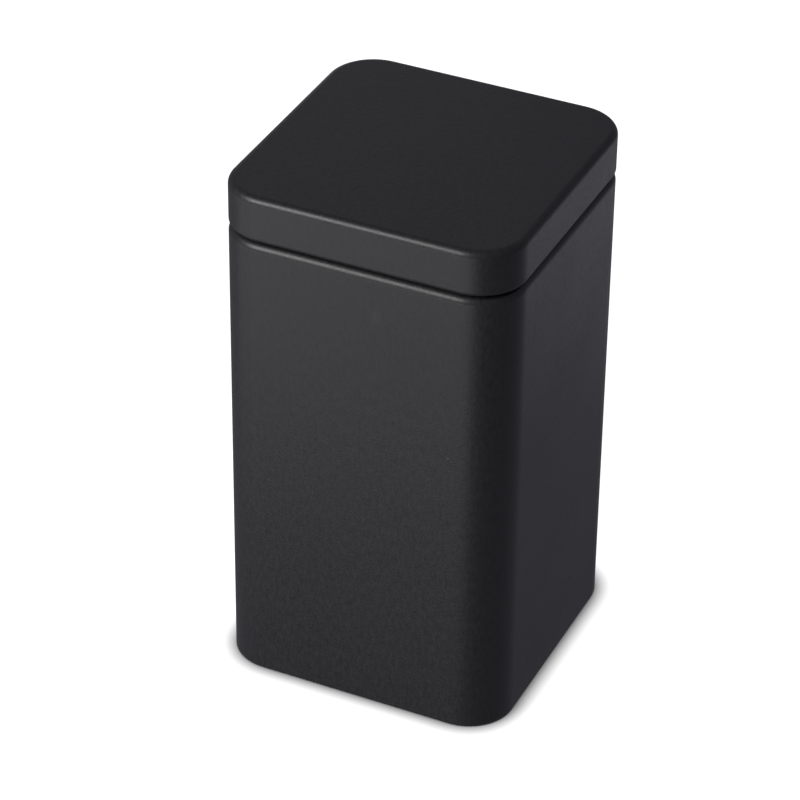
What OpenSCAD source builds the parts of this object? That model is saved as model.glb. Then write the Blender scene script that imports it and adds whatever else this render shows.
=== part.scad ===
// Square lift-lid candle tin: a rolled tinplate wall with a rolled shoulder, a neck collar
// pressed in under it, a hooked-on base with its sealing compound, and a drawn lid.
// Every sheet part is one cross-section swept round a square with rounded corners.
// Cross-sections are drawn as [inset from the wall's outer face, height].

/* [Tin] */
// Width and depth of the square tin
tin_w = 60; // [50:1:90]
// Height of the tin with its lid on
tin_h = 109; // [70:1:160]
// Outer radius of the upright corners
corner_r = 9.6; // [8.4:0.2:16]
// Thickness of the tinplate
gauge = 0.28; // [0.24:0.01:0.3]

/* [Lid] */
// Outside height of the lid
lid_h = 9.4; // [7:0.1:14]
// Radius of the lid's top edge
lid_edge_r = 1.45; // [1:0.05:1.8]
// Height of the lid's turned-in hem
lid_hem_h = 2.5; // [1.8:0.1:3.5]
// Gap between the closed lid and the shoulder
lid_gap = 0.5; // [0.3:0.1:1]
// Play between the lid's hem and the neck, on each side
neck_play = 0.2; // [0.12:0.02:0.3]

/* [Wall and neck] */
// Radius of the rolled shoulder
shoulder_r = 1.55; // [1.3:0.05:1.55]
// Inset of the neck from the wall's outer face
neck_inset = 1.95; // [1.95:0.05:2.3]
// Height of the collar's skirt inside the wall
collar_skirt_h = 12; // [6:1:20]
// Outer radius of the curl at the neck's rim
curl_r = 0.65; // [0.55:0.05:0.8]
// Width of the welded side seam
seam_w = 1; // [0.6:0.1:1.6]
// How far the welded side seam stands proud
seam_proud = 0.1; // [0.05:0.01:0.15]

/* [Base] */
// Radius of the wall's bottom edge
rim_r = 0.46; // [0.42:0.02:0.6]
// Width of the flat land that the tin stands on
land_w = 0.24; // [0.2:0.02:0.5]
// Height of the turned-in leg that the base hooks over
leg_h = 2.6; // [2.6:0.1:4]
// Height of the base panel above the ground
panel_z = 1.6; // [1.2:0.1:1.6]
// Inset of the stiffening step in the base panel
step_inset = 6; // [4:0.2:7]
// Inner radius of the two bends of the stiffening step
step_r = 0.25; // [0.15:0.05:0.4]

/* [Hidden] */
$fn = 64;
lacquer = [0.17, 0.17, 0.18];
tinplate = [0.72, 0.72, 0.73];
compound = [0.55, 0.5, 0.42];
// Clearance between parts that are pressed together
press_gap = 0.04;
half_w = tin_w / 2;
straight = tin_w - 2 * corner_r;

lid_z = tin_h - lid_h;
lid_hem_r = (neck_inset - neck_play) / 2;

shoulder_top = lid_z - lid_gap;
shoulder_z = shoulder_top - shoulder_r;
hem_back = shoulder_r - 0.25;
hem_nose = neck_inset - press_gap - gauge;

collar_u = gauge + press_gap;
ledge_z = shoulder_top - 2 * gauge - press_gap;
ledge_bend = shoulder_r - collar_u;
neck_bend = 0.15;
neck_top = tin_h - gauge - 0.05;
curl_z = neck_top - curl_r;

leg_u = 2 * rim_r + land_w - gauge;
hook_u = leg_u + gauge / 2;
hook_r = gauge / 2 + press_gap;
hook_z = leg_h + press_gap;
hook_end_z = leg_h - 1.3;
chuck_u = hook_u + hook_r;
chuck_bend = 0.4;
step_z = panel_z + gauge + step_r;
step_end = step_inset + 2 * step_r + gauge;
centre_z = step_z + step_r;

// A flat stretch of a cross-section, from its low corner to its high corner
module strip(low, high) {
    translate(low)
        square(high - low);
}

// Sheet bent round a centre, with its inner radius, its first angle and its sweep
module bend(centre, inner_r, first, sweep) {
    outer_r = inner_r + gauge;
    steps = ceil(sweep / 45);
    rays = [for (i = [0:steps]) first + sweep * i / steps];
    translate(centre)
        intersection() {
            difference() {
                circle(outer_r);
                circle(inner_r);
            }
            polygon(concat([[0, 0]], [for (a = rays) 2 * outer_r * [cos(a), sin(a)]]));
        }
}

// Sweeps a cross-section round the tin's rounded square
module swept_ring() {
    for (quarter = [0:3])
        rotate([0, 0, 90 * quarter]) {
            translate([straight / 2, straight / 2, 0])
                rotate_extrude(angle = 90)
                    translate([corner_r, 0])
                        mirror([1, 0])
                            children();
            translate([0, straight / 2, 0])
                rotate([90, 0, 0])
                    linear_extrude(height = straight)
                        translate([half_w, 0])
                            mirror([1, 0])
                                children();
        }
}

// A square plate with rounded corners, set in from the tin's outline
module plate(inset, low_z) {
    plate_r = corner_r - inset;
    translate([0, 0, low_z])
        linear_extrude(height = gauge) {
            square([straight, straight + 2 * plate_r], center = true);
            square([straight + 2 * plate_r, straight], center = true);
            for (quarter = [0:3])
                rotate(90 * quarter)
                    translate([straight / 2, straight / 2])
                        intersection() {
                            circle(plate_r);
                            square(plate_r);
                        }
        }
}

module wall_section() {
    // Bottom edge, flat land and the leg that the base hooks over
    bend([rim_r, rim_r], rim_r - gauge, 180, 90);
    strip([rim_r, 0], [rim_r + land_w, gauge]);
    bend([rim_r + land_w, rim_r], rim_r - gauge, 270, 90);
    strip([leg_u, rim_r], [leg_u + gauge, leg_h]);
    // Wall and shoulder, folded back under itself into a hem
    strip([0, rim_r], [gauge, shoulder_z]);
    bend([shoulder_r, shoulder_z], shoulder_r - gauge, 90, 90);
    strip([shoulder_r, shoulder_top - gauge], [hem_nose, shoulder_top]);
    strip([hem_back, shoulder_top - 2 * gauge], [hem_nose, shoulder_top - gauge / 2]);
    translate([hem_nose, shoulder_top - gauge])
        intersection() {
            circle(gauge);
            strip([0, -gauge], [gauge, gauge]);
        }
}

module collar_section() {
    // Skirt inside the wall and ledge under the shoulder's hem
    strip([collar_u, ledge_z - collar_skirt_h], [collar_u + gauge, ledge_z - ledge_bend]);
    bend([shoulder_r, ledge_z - ledge_bend], ledge_bend - gauge, 90, 90);
    strip([shoulder_r, ledge_z - gauge], [neck_inset - neck_bend, ledge_z]);
    // Neck that the lid slides over, with its rim curled inwards
    bend([neck_inset - neck_bend, ledge_z + neck_bend], neck_bend, 270, 90);
    strip([neck_inset, ledge_z + neck_bend], [neck_inset + gauge, curl_z]);
    bend([neck_inset + curl_r, curl_z], curl_r - gauge, -90, 270);
}

module base_section() {
    // Hook over the wall's leg
    strip([hook_u - hook_r - gauge, hook_end_z], [hook_u - hook_r, hook_z]);
    bend([hook_u, hook_z], hook_r, 0, 180);
    // Wall down to the panel
    strip([chuck_u, panel_z + gauge + chuck_bend], [chuck_u + gauge, hook_z]);
    bend([chuck_u + gauge + chuck_bend, panel_z + gauge + chuck_bend], chuck_bend, 180, 90);
    // Panel with its stiffening step
    strip([chuck_u + gauge + chuck_bend, panel_z], [step_inset, panel_z + gauge]);
    bend([step_inset, step_z], step_r, 270, 90);
    bend([step_end, step_z], step_r, 90, 90);
}

module lid_section() {
    // Rounded top edge and skirt
    bend([lid_edge_r, tin_h - lid_edge_r], lid_edge_r - gauge, 90, 90);
    strip([0, lid_z + lid_hem_r], [gauge, tin_h - lid_edge_r]);
    // Hem turned inwards and up
    bend([lid_hem_r, lid_z + lid_hem_r], lid_hem_r - gauge, 180, 180);
    strip([2 * lid_hem_r - gauge, lid_z + lid_hem_r], [2 * lid_hem_r, lid_z + lid_hem_h]);
}

module body_shell() {
    color(lacquer) {
        swept_ring()
            wall_section();
        // Welded lap down the middle of the back wall
        translate([-seam_w / 2, half_w - gauge / 2, rim_r])
            cube([seam_w, gauge / 2 + seam_proud, shoulder_z - rim_r]);
    }
}

module neck_collar() {
    color(tinplate)
        swept_ring()
            collar_section();
}

module base_panel() {
    color(lacquer) {
        swept_ring()
            base_section();
        plate(step_end, centre_z);
    }
}

module base_seal() {
    color(compound)
        swept_ring()
            strip([gauge, rim_r], [leg_u, hook_end_z]);
}

module lid_shell() {
    color(lacquer) {
        swept_ring()
            lid_section();
        plate(lid_edge_r, tin_h - gauge);
    }
}

body_shell();
neck_collar();
base_panel();
base_seal();
lid_shell();
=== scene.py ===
"""Square lift-lid candle tin, satin black outside and bare tinplate inside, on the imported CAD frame.

Each sheet-metal piece is one bent strip, drawn as a path of runs and turns in [inset, height] and
swept round the tin's rounded square. Lengths are in metres, and MM turns millimetres into them.
"""
import math

import bpy
from mathutils import Matrix, Vector


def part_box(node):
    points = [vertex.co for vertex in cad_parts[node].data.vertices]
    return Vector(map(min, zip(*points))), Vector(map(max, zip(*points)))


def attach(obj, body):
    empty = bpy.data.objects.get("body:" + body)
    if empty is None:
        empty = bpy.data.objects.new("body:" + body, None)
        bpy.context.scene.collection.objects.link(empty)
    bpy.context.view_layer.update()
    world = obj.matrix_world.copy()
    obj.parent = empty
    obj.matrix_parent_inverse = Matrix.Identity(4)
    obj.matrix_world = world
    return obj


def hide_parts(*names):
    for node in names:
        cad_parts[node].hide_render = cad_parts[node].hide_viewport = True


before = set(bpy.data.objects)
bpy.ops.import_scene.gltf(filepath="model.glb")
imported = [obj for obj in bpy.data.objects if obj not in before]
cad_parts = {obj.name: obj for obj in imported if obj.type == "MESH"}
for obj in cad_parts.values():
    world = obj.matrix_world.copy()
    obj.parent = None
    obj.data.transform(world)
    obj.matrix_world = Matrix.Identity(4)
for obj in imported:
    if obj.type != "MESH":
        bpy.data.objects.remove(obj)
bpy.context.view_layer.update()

# ---------------------------------------------------------------- driving dimensions
MM = 0.001
GAUGE = 0.28 * MM
CORNER_R = 9.6 * MM
PRESS_GAP = 0.04 * MM

body_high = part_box("body_shell")[1]
lid_low, lid_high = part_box("lid_shell")
collar_low, collar_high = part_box("neck_collar")
base_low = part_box("base_panel")[0]
seal_low, seal_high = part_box("base_seal")

HALF_W = lid_high[0]
STRAIGHT = 2 * (HALF_W - CORNER_R)
OUTLINE = 4 * STRAIGHT + 2 * math.pi * CORNER_R

LID_EDGE_R = 1.45 * MM
LID_HEM_R = 0.875 * MM
LID_HEM_H = 2.5 * MM

SHOULDER_TOP = body_high[2]
SHOULDER_R = 1.55 * MM
HEM_R = GAUGE + 0.01 * MM
HEM_BACK = 1.3 * MM

NECK_INSET = 1.95 * MM
NECK_BEND = 0.15 * MM
CURL_R = 0.65 * MM

SEAM_W = 1.0 * MM
SEAM_RAMP = 0.12 * MM
SEAM_PROUD = body_high[1] - HALF_W

RIM_R = 0.46 * MM
LAND_W = 0.24 * MM
LEG_U = 2 * RIM_R + LAND_W - GAUGE
LEG_H = 2.6 * MM
HOOK_U = LEG_U + GAUGE / 2
HOOK_R = GAUGE / 2 + PRESS_GAP
CHUCK_BEND = 0.4 * MM
PANEL_Z = 1.6 * MM
STEP_INSET = 6.0 * MM
STEP_R = 0.25 * MM

# Painted sheen: a faint round lighter patch of colour, high on the front wall
PAINTED_SHEEN_PLACE = Vector((4.0, -30.0, 90.3)) * MM
PAINTED_SHEEN_R = 1.8 * MM

# Noise scales of the lacquer and the tinplate, per metre, and the depths of their relief
SAND_SCALE = 1500
LACQUER_GRAIN = (1300, 520)
LACQUER_CLOUDS = 38
SAND_DEPTH = 0.028 * MM
LACQUER_CLOUD_DEPTH = 0.05 * MM
TINPLATE_GRAIN = (4200, 160)
TINPLATE_CLOUDS = 60
TINPLATE_CLOUD_DEPTH = 0.04 * MM
TINPLATE_GRAIN_DEPTH = 0.003 * MM
LUMP_SCALE = 900
LUMP_DEPTH = 0.04 * MM
DUST_CELLS = 260.0

# Facets of the swept meshes, and the distance of a support row from the bend it guards
CORNER_STEPS = 24
BEND_STEP_DEG = 9
SUPPORT = 0.05 * MM
CORNER_SUPPORT = 0.15 * MM


# ---------------------------------------------------------------- sheet sections
class Sheet:
    """A strip of sheet seen from its end: a centre line of runs and turns with both its faces."""

    def __init__(self, inset, height, heading):
        self.at = Vector((inset, height))
        self.heading = math.radians(heading)
        self.left, self.right, self.along = [], [], []
        self.length = 0.0
        self.mark()

    def mark(self):
        """Adds the point reached to both faces."""
        side = Vector((-math.sin(self.heading), math.cos(self.heading))) * GAUGE / 2
        self.left.append(self.at + side)
        self.right.append(self.at - side)
        self.along.append(self.length)

    def step(self, distance):
        self.at = self.at + Vector((math.cos(self.heading), math.sin(self.heading))) * distance
        self.length += distance
        self.mark()

    def run(self, distance, pieces=1):
        """A flat stretch, with a support row just inside each end so that it shades flat."""
        if distance < 4 * SUPPORT:
            self.step(distance)
            return self
        self.step(SUPPORT)
        for _ in range(pieces):
            self.step((distance - 2 * SUPPORT) / pieces)
        self.step(SUPPORT)
        return self

    def turn(self, radius, degrees):
        """A bend of the centre line, to the left if degrees is positive."""
        steps = max(2, math.ceil(abs(degrees) / BEND_STEP_DEG))
        swing = math.radians(degrees) / steps
        side = math.copysign(1, degrees)
        for _ in range(steps):
            normal = Vector((-math.sin(self.heading), math.cos(self.heading))) * side
            centre = self.at + normal * radius
            self.heading += swing
            normal = Vector((-math.sin(self.heading), math.cos(self.heading))) * side
            self.at = centre - normal * radius
            self.length += abs(swing) * radius
            self.mark()
        return self


def wall_sheet():
    """From the leg that the base hooks over, round the bottom edge, up the wall and into the hem."""
    bend = RIM_R - GAUGE / 2
    shoulder_z = SHOULDER_TOP - SHOULDER_R
    hem_nose = NECK_INSET - PRESS_GAP - HEM_R
    sheet = Sheet(LEG_U + GAUGE / 2, LEG_H, -90)
    sheet.run(LEG_H - RIM_R).turn(bend, -90).run(LAND_W).turn(bend, -90)
    sheet.run(shoulder_z - RIM_R, pieces=10).turn(SHOULDER_R - GAUGE / 2, -90)
    sheet.run(hem_nose - SHOULDER_R).turn(HEM_R - GAUGE / 2, -180).run(hem_nose - HEM_BACK)
    return sheet


def collar_sheet():
    """From the skirt's lower edge, in under the shoulder, up the neck and round the curl."""
    skirt_u = GAUGE + PRESS_GAP
    bend = SHOULDER_R - skirt_u - GAUGE / 2
    ledge_z = SHOULDER_TOP - 2 * GAUGE - PRESS_GAP
    neck_z = ledge_z + NECK_BEND
    sheet = Sheet(skirt_u + GAUGE / 2, collar_low[2], 90)
    sheet.run(ledge_z - GAUGE / 2 - bend - collar_low[2], pieces=3).turn(bend, -90)
    sheet.run(NECK_INSET - NECK_BEND - SHOULDER_R).turn(NECK_BEND + GAUGE / 2, 90)
    sheet.run(collar_high[2] - CURL_R - neck_z, pieces=2).turn(CURL_R - GAUGE / 2, -270)
    return sheet


def base_sheet():
    """From the hook's end, over the wall's leg, down to the panel and up its stiffening step."""
    hook_z = LEG_H + PRESS_GAP
    chuck_u = HOOK_U + HOOK_R + GAUGE / 2
    bend_z = PANEL_Z + GAUGE + CHUCK_BEND
    bend = CHUCK_BEND + GAUGE / 2
    sheet = Sheet(HOOK_U - HOOK_R - GAUGE / 2, base_low[2], 90)
    sheet.run(hook_z - base_low[2]).turn(HOOK_R + GAUGE / 2, -180)
    sheet.run(hook_z - bend_z).turn(bend, 90)
    sheet.run(STEP_INSET - chuck_u - bend, pieces=2)
    sheet.turn(STEP_R + GAUGE / 2, 90).turn(STEP_R + GAUGE / 2, -90).run(2 * SUPPORT)
    return sheet


def lid_sheet():
    """From the hem's inner edge, round the hem, up the skirt and over the top edge."""
    hem_z = lid_low[2] + LID_HEM_R
    sheet = Sheet(2 * LID_HEM_R - GAUGE / 2, lid_low[2] + LID_HEM_H, -90)
    sheet.run(LID_HEM_H - LID_HEM_R).turn(LID_HEM_R - GAUGE / 2, -180)
    sheet.run(lid_high[2] - LID_EDGE_R - hem_z, pieces=3).turn(LID_EDGE_R - GAUGE / 2, -90)
    sheet.run(4 * SUPPORT)
    return sheet


# ---------------------------------------------------------------- sweeping round the tin
def stations(seam=False):
    """The centre, outward direction and place along the outline of each section round the tin."""
    found, travelled = [], 0.0
    reach = STRAIGHT / 2
    flat_places = [-reach + CORNER_SUPPORT, -reach / 2, 0.0, reach / 2, reach - CORNER_SUPPORT]
    seam_places = [-SEAM_W / 2 - SEAM_RAMP, -SEAM_W / 2, SEAM_W / 2, SEAM_W / 2 + SEAM_RAMP]
    for quarter in range(4):
        start = math.pi / 2 * quarter
        spin = Matrix.Rotation(start, 2)
        centre = spin @ Vector((reach, reach))
        for i in range(CORNER_STEPS + 1):
            angle = math.pi / 2 * i / CORNER_STEPS
            heading = Vector((math.cos(start + angle), math.sin(start + angle)))
            found.append((centre, heading, travelled + angle * CORNER_R))
        travelled += math.pi / 2 * CORNER_R
        places = sorted(flat_places + seam_places) if seam and quarter == 0 else flat_places
        for place in places:
            centre = spin @ Vector((-place, reach))
            found.append((centre, spin @ Vector((0, 1)), travelled + place + reach))
        travelled += STRAIGHT
    return found


def swept(name, sheet, left_slot, right_slot, plate=False, seam=False, blank=False):
    """Sweeps a sheet round the tin. A plate closes the middle; a blank has flat-blank coordinates."""
    rows = len(sheet.left)
    outline = list(zip(sheet.left + sheet.right, sheet.along + sheet.along))
    around = stations(seam)
    points, flat = [], []
    for centre, heading, travelled in around:
        for (inset, height), along in outline:
            place = centre + (CORNER_R - inset) * heading
            points.append((place.x, place.y, height))
            spread = centre + (CORNER_R + sheet.length - along) * heading
            flat.append(tuple(spread) if blank else (travelled, along))
    count = len(outline)
    faces, slots = [], []

    def quad(station, a, b, slot):
        here, after = station * count, (station + 1) % len(around) * count
        faces.append((here + a, after + a, after + b, here + b))
        slots.append(slot)

    for station in range(len(around)):
        for row in range(rows - 1):
            quad(station, row, row + 1, left_slot)
            quad(station, rows + row + 1, rows + row, right_slot)
        quad(station, rows, 0, right_slot)
        if not plate:
            quad(station, rows - 1, 2 * rows - 1, right_slot)
    if plate:
        ring = [station * count for station in range(len(around))]
        faces.append([first + rows - 1 for first in ring])
        faces.append([first + 2 * rows - 1 for first in reversed(ring)])
        slots += [left_slot, right_slot]

    mesh = bpy.data.meshes.new(name)
    mesh.from_pydata(points, [], faces)
    mesh.polygons.foreach_set("material_index", slots)
    mesh.polygons.foreach_set("use_smooth", [True] * len(faces))
    layer = mesh.uv_layers.new(name="Sheet")
    for face in mesh.polygons:
        # The faces that close the ring carry on past its start, so the grain isn't squeezed there
        closing = not blank and max(face.vertices) - min(face.vertices) > 2 * count
        for loop in face.loop_indices:
            vertex = mesh.loops[loop].vertex_index
            across, along = flat[vertex]
            past_start = OUTLINE if closing and vertex < count else 0.0
            layer.data[loop].uv = (across + past_start, along)
    mesh.validate()
    mesh.update()
    piece = bpy.data.objects.new(name, mesh)
    bpy.context.scene.collection.objects.link(piece)
    return piece


def raise_side_seam(piece):
    """Lifts the welded lap down the middle of the back wall."""
    low, high = RIM_R + SUPPORT, SHOULDER_TOP - SHOULDER_R
    for vertex in piece.data.vertices:
        x, y, z = vertex.co
        if abs(x) < SEAM_W / 2 + SUPPORT and y > HALF_W - SUPPORT and low < z < high:
            vertex.co.y += SEAM_PROUD


# ---------------------------------------------------------------- materials
class Shader:
    """A material with one Principled shader, and short ways to add nodes to it."""

    def __init__(self, name):
        self.material = bpy.data.materials.new(name)
        self.material.use_nodes = True
        self.tree = self.material.node_tree
        self.surface = self.tree.nodes["Principled BSDF"]
        self.bump_out = None

    def node(self, kind, settings=None, **inputs):
        made = self.tree.nodes.new("ShaderNode" + kind)
        for key, value in (settings or {}).items():
            setattr(made, key, value)
        for key, value in inputs.items():
            self.put(made, key.replace("_", " "), value)
        return made

    def put(self, node, socket, value):
        if isinstance(value, bpy.types.NodeSocket):
            self.tree.links.new(value, node.inputs[socket])
        else:
            node.inputs[socket].default_value = value

    def set(self, **inputs):
        for key, value in inputs.items():
            self.put(self.surface, key.replace("_", " "), value)

    def sheet_place(self, across, along):
        """Place on the sheet, scaled across and along its rolling grain."""
        uv = self.node("UVMap", {"uv_map": "Sheet"}).outputs["UV"]
        return self.node("Mapping", Vector=uv, Scale=(across, along, 1)).outputs["Vector"]

    def place(self):
        return self.node("TexCoord").outputs["Object"]

    def noise(self, vector, scale=1.0, detail=2.0, roughness=0.5):
        made = self.node("TexNoise", Vector=vector, Scale=scale, Detail=detail, Roughness=roughness)
        return made.outputs["Fac"]

    def ramp(self, value, low, high, to_low=0.0, to_high=1.0):
        """Maps value from low..high to to_low..to_high, without passing either end."""
        made = self.node("MapRange", {"clamp": True}, Value=value)
        ends = {"From Min": low, "From Max": high, "To Min": to_low, "To Max": to_high}
        for key, number in ends.items():
            made.inputs[key].default_value = number
        return made.outputs["Result"]

    def mix(self, factor, first, second):
        made = self.node("Mix", {"data_type": "RGBA"})
        self.put(made, 0, factor)
        for socket, value in ((6, first), (7, second)):
            self.put(made, socket, value)
        return made.outputs[2]

    def grey(self, value):
        return self.node("CombineColor", Red=value, Green=value, Blue=value).outputs["Color"]

    def math(self, operation, first, second):
        made = self.node("Math", {"operation": operation})
        self.put(made, 0, first)
        self.put(made, 1, second)
        return made.outputs[0]

    def bump(self, height, depth, strength=1.0):
        """Adds a layer of relief, depth metres high."""
        made = self.node("Bump", Height=height, Distance=depth, Strength=strength)
        if self.bump_out is not None:
            self.put(made, "Normal", self.bump_out)
        self.bump_out = made.outputs["Normal"]
        self.put(self.surface, "Normal", self.bump_out)


def dust(shader):
    """A sparse mask of tiny specks."""
    cells = shader.node("TexVoronoi", {"feature": "F1"}, Vector=shader.place(), Scale=DUST_CELLS)
    near = shader.ramp(cells.outputs["Distance"], 0.02, 0.035, 1.0, 0.0)
    chosen = shader.node("SeparateColor", Color=cells.outputs["Color"]).outputs["Red"]
    return shader.math("MULTIPLY", near, shader.ramp(chosen, 0.955, 0.96))


def painted_sheen(shader):
    """A mask of the one painted sheen, a faint round lighter patch high on the front wall."""
    sheen_spot = shader.node("VectorMath", {"operation": "DISTANCE"})
    shader.put(sheen_spot, 0, shader.place())
    sheen_spot.inputs[1].default_value = PAINTED_SHEEN_PLACE
    return shader.ramp(sheen_spot.outputs["Value"], PAINTED_SHEEN_R, 0.0, 0.0, 1.0)


def black_lacquer(name):
    """Satin black lacquer: sandy relief, rolling grain in tone and gloss, clouds, dust, and a painted
    sheen patch.
    """
    shader = Shader(name)
    sand = shader.noise(shader.place(), SAND_SCALE, 2.0, 0.6)
    grain = shader.noise(shader.sheet_place(*LACQUER_GRAIN), 1.0, 2.0, 0.6)
    cloud = shader.noise(shader.place(), LACQUER_CLOUDS, 3.0, 0.55)
    specks, sheen_spot = dust(shader), painted_sheen(shader)
    streaks = shader.ramp(grain, 0.3, 0.7)
    tone = shader.mix(streaks, (0.007, 0.007, 0.0075, 1), (0.015, 0.015, 0.0165, 1))
    # Painted sheen: the colour is lightened towards pale grey in one faint round patch
    tone = shader.mix(shader.math("MULTIPLY", sheen_spot, 0.045), tone, (0.25, 0.25, 0.26, 1))
    colour = shader.mix(specks, tone, (0.20, 0.20, 0.21, 1))
    patches = shader.ramp(cloud, 0.3, 0.7, 0.40, 0.44)
    rough = shader.math("ADD", patches, shader.ramp(grain, 0.3, 0.7, -0.03, 0.03))
    rough = shader.math("ADD", rough, shader.math("MULTIPLY", specks, 0.3))
    shader.set(Base_Color=colour, Roughness=rough, IOR=1.5)
    shader.bump(cloud, LACQUER_CLOUD_DEPTH, 0.5)
    shader.bump(sand, SAND_DEPTH)
    return shader.material


def bare_tinplate(name):
    """Bright tinplate with a rolling grain and faint cloudy tarnish."""
    shader = Shader(name)
    grain = shader.noise(shader.sheet_place(*TINPLATE_GRAIN), 1.0, 3.0, 0.65)
    cloud = shader.noise(shader.place(), TINPLATE_CLOUDS, 4.0, 0.6)
    colour = shader.mix(cloud, (0.62, 0.62, 0.63, 1), (0.74, 0.735, 0.73, 1))
    patches = shader.ramp(cloud, 0.3, 0.7, 0.22, 0.32)
    rough = shader.math("ADD", patches, shader.ramp(grain, 0.3, 0.7, -0.05, 0.05))
    shader.set(Base_Color=colour, Roughness=rough, Metallic=1.0)
    shader.bump(cloud, TINPLATE_CLOUD_DEPTH, 0.4)
    shader.bump(grain, TINPLATE_GRAIN_DEPTH)
    return shader.material


def seam_compound(name):
    """Dull tan sealing compound, slightly lumpy."""
    shader = Shader(name)
    lumps = shader.noise(shader.place(), LUMP_SCALE, 3.0, 0.6)
    shader.set(
        Base_Color=shader.mix(lumps, (0.24, 0.20, 0.14, 1), (0.34, 0.29, 0.21, 1)),
        Roughness=shader.ramp(lumps, 0.3, 0.7, 0.55, 0.75),
    )
    shader.bump(lumps, LUMP_DEPTH)
    return shader.material


# ---------------------------------------------------------------- the pieces
LACQUER = black_lacquer("satin_black_lacquer")
TINPLATE = bare_tinplate("bright_tinplate")
COMPOUND = seam_compound("sealing_compound")
OUTSIDE, INSIDE = 0, 1


def settle(piece, node, body, slot, *materials):
    for material in materials:
        piece.data.materials.append(material)
    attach(piece, body)
    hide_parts(node)


wall = swept("tin_wall", wall_sheet(), OUTSIDE, INSIDE, seam=True)
raise_side_seam(wall)
settle(wall, "body_shell", "tin", "black_lacquer", LACQUER, TINPLATE)

collar = swept("tin_collar", collar_sheet(), OUTSIDE, OUTSIDE)
settle(collar, "neck_collar", "tin", "bare_tinplate", TINPLATE)

base = swept("tin_base", base_sheet(), INSIDE, OUTSIDE, plate=True, blank=True)
settle(base, "base_panel", "tin", "black_lacquer", LACQUER, TINPLATE)

lid = swept("tin_lid", lid_sheet(), OUTSIDE, INSIDE, plate=True, blank=True)
settle(lid, "lid_shell", "lid", "black_lacquer", LACQUER, TINPLATE)


def seal_ring():
    """The bead of compound in the channel between the wall and its turned-in leg."""
    sag = 0.05 * MM
    section = [
        (GAUGE, seal_low[2]), ((GAUGE + LEG_U) / 2, seal_low[2] - sag), (LEG_U, seal_low[2]),
        (LEG_U, seal_high[2]), ((GAUGE + LEG_U) / 2, seal_high[2]), (GAUGE, seal_high[2]),
    ]
    around = stations()
    count = len(section)
    points = []
    for centre, heading, _ in around:
        for inset, height in section:
            place = centre + (CORNER_R - inset) * heading
            points.append((place.x, place.y, height))
    faces = []
    for station in range(len(around)):
        here, after = station * count, (station + 1) % len(around) * count
        for row in range(count):
            beyond = (row + 1) % count
            faces.append((here + row, here + beyond, after + beyond, after + row))
    mesh = bpy.data.meshes.new("tin_seal")
    mesh.from_pydata(points, [], faces)
    mesh.update()
    piece = bpy.data.objects.new("tin_seal", mesh)
    bpy.context.scene.collection.objects.link(piece)
    return piece


settle(seal_ring(), "base_seal", "tin", "seam_compound", COMPOUND)


# ---------------------------------------------------------------- floor, light and camera
def direction(azimuth, elevation):
    """Unit vector from the tin, by azimuth from +X towards +Y and elevation, in degrees."""
    a, e = math.radians(azimuth), math.radians(elevation)
    return Vector((math.cos(e) * math.cos(a), math.cos(e) * math.sin(a), math.sin(e)))


def softbox(name, azimuth, elevation, power, colour=(1.0, 1.0, 1.0)):
    """A square area light that looks at the middle of the tin."""
    lamp = bpy.data.lights.new(name, "AREA")
    lamp.shape, lamp.size = "SQUARE", BOX_SIZE
    lamp.energy, lamp.color = power, colour
    holder = bpy.data.objects.new(name, lamp)
    holder.location = MIDDLE + direction(azimuth, elevation) * BOX_DISTANCE
    holder.rotation_euler = (MIDDLE - holder.location).to_track_quat("-Z", "Y").to_euler()
    holder.visible_camera = False
    bpy.context.scene.collection.objects.link(holder)


def floor():
    """A white table that glows evenly like a light table, with a painted contact shadow: its glow is
    dimmed close to what stands on it.
    """
    mesh = bpy.data.meshes.new("floor")
    reach = 3.0
    corners = [(-reach, -reach, 0), (reach, -reach, 0), (reach, reach, 0), (-reach, reach, 0)]
    mesh.from_pydata(corners, [], [(0, 1, 2, 3)])
    made = bpy.data.objects.new("floor", mesh)
    shader = Shader("table_white")
    near = shader.node("AmbientOcclusion", {"samples": 16}, Distance=CONTACT_REACH)
    # Painted contact shadow: the glow fades where ambient occlusion finds something within reach
    glow = shader.ramp(near.outputs["AO"], 0.42, 1.0, 0.0, 1.05)
    shader.set(Base_Color=(0.3, 0.3, 0.3, 1), Roughness=0.9)
    shader.set(Emission_Color=shader.grey(glow), Emission_Strength=1.0)
    mesh.materials.append(shader.material)
    bpy.context.scene.collection.objects.link(made)
    # The table bounce comes from lamps set low, so the table neither blocks them nor adds to them
    made.visible_glossy = made.visible_diffuse = made.visible_shadow = False


def studio_world():
    """White behind everything, and a dim grey room for what is reflected."""
    world = bpy.data.worlds.new("studio")
    bpy.context.scene.world = world
    world.use_nodes = True
    tree = world.node_tree
    tree.nodes.clear()
    seen = tree.nodes.new("ShaderNodeBackground")
    seen.inputs["Color"].default_value = (1, 1, 1, 1)
    room = tree.nodes.new("ShaderNodeBackground")
    room.inputs["Color"].default_value = (0.19, 0.19, 0.22, 1)
    path = tree.nodes.new("ShaderNodeLightPath")
    either = tree.nodes.new("ShaderNodeMixShader")
    out = tree.nodes.new("ShaderNodeOutputWorld")
    tree.links.new(path.outputs["Is Camera Ray"], either.inputs[0])
    tree.links.new(room.outputs[0], either.inputs[1])
    tree.links.new(seen.outputs[0], either.inputs[2])
    tree.links.new(either.outputs[0], out.inputs[0])


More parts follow.
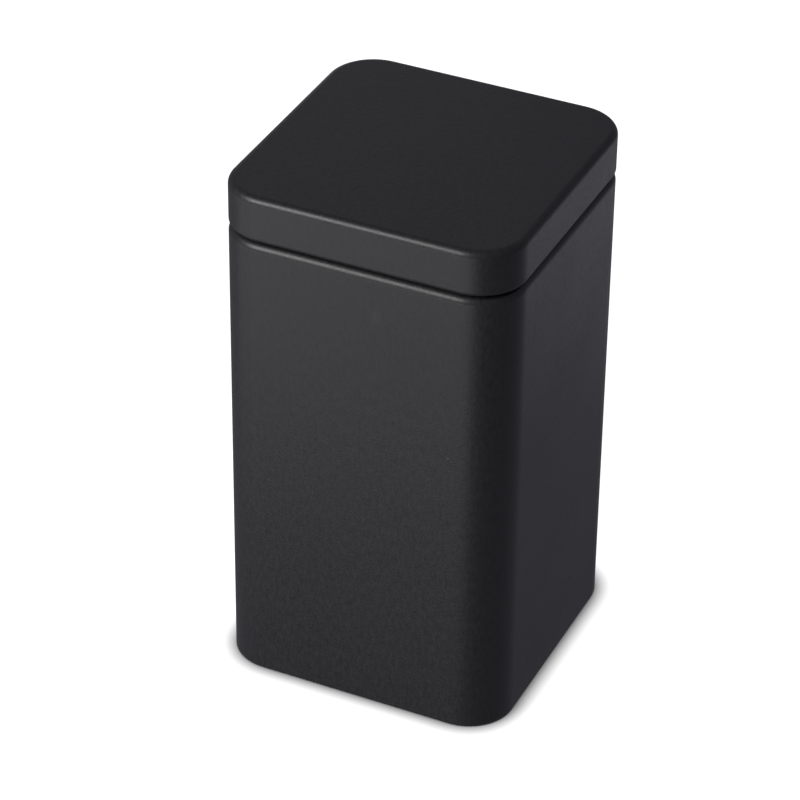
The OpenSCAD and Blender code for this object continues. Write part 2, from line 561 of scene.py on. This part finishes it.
MIDDLE = Vector((0, 0, 0.055))
BOX_SIZE = 0.16
BOX_DISTANCE = 0.35
CONTACT_REACH = 4.0 * MM

floor()
studio_world()
softbox("key_front_left", -120, 35, 0.82)
softbox("edge_back_left", 120, 10, 0.045)
softbox("bounce_front", -90, -15, 0.14)
softbox("bounce_front_left", -120, -15, 0.13)
softbox("bounce_left", -150, -15, 0.07)
softbox("bounce_right", 60, -15, 0.033, (0.9, 0.9, 1.0))
softbox("bounce_back", 120, -30, 0.15)

CAMERA_AZIMUTH = math.radians(24.64)
CAMERA_ELEVATION = math.radians(34.0)
CAMERA_ROLL = math.radians(0.75)
CAMERA_DISTANCE = 692 * MM
CAMERA_SIDEWAYS = -4.18 * MM
CAMERA_UPWARDS = -1.21 * MM
CAMERA_LENS = 158.6
SENSOR = 36.0
AIM_HEIGHT = 54 * MM


def camera():
    """Looks at the tin from the front right and above, as the tin is shown."""
    back = Vector((
        math.sin(CAMERA_AZIMUTH) * math.cos(CAMERA_ELEVATION),
        -math.cos(CAMERA_AZIMUTH) * math.cos(CAMERA_ELEVATION),
        math.sin(CAMERA_ELEVATION),
    ))
    level = Vector((math.cos(CAMERA_AZIMUTH), math.sin(CAMERA_AZIMUTH), 0))
    up = back.cross(level)
    right = math.cos(CAMERA_ROLL) * level + math.sin(CAMERA_ROLL) * up
    top = -math.sin(CAMERA_ROLL) * level + math.cos(CAMERA_ROLL) * up
    place = Vector((0, 0, AIM_HEIGHT)) + CAMERA_SIDEWAYS * right + CAMERA_UPWARDS * top
    place += CAMERA_DISTANCE * back
    lens = bpy.data.cameras.new("camera")
    lens.lens, lens.sensor_width = CAMERA_LENS, SENSOR
    lens.clip_start, lens.clip_end = 0.01, 20.0
    made = bpy.data.objects.new("camera", lens)
    frame_of = Matrix((right, top, back)).transposed().to_4x4()
    made.matrix_world = Matrix.Translation(place) @ frame_of
    bpy.context.scene.collection.objects.link(made)
    bpy.context.scene.camera = made


camera()
bpy.context.scene.view_settings.view_transform = "Standard"
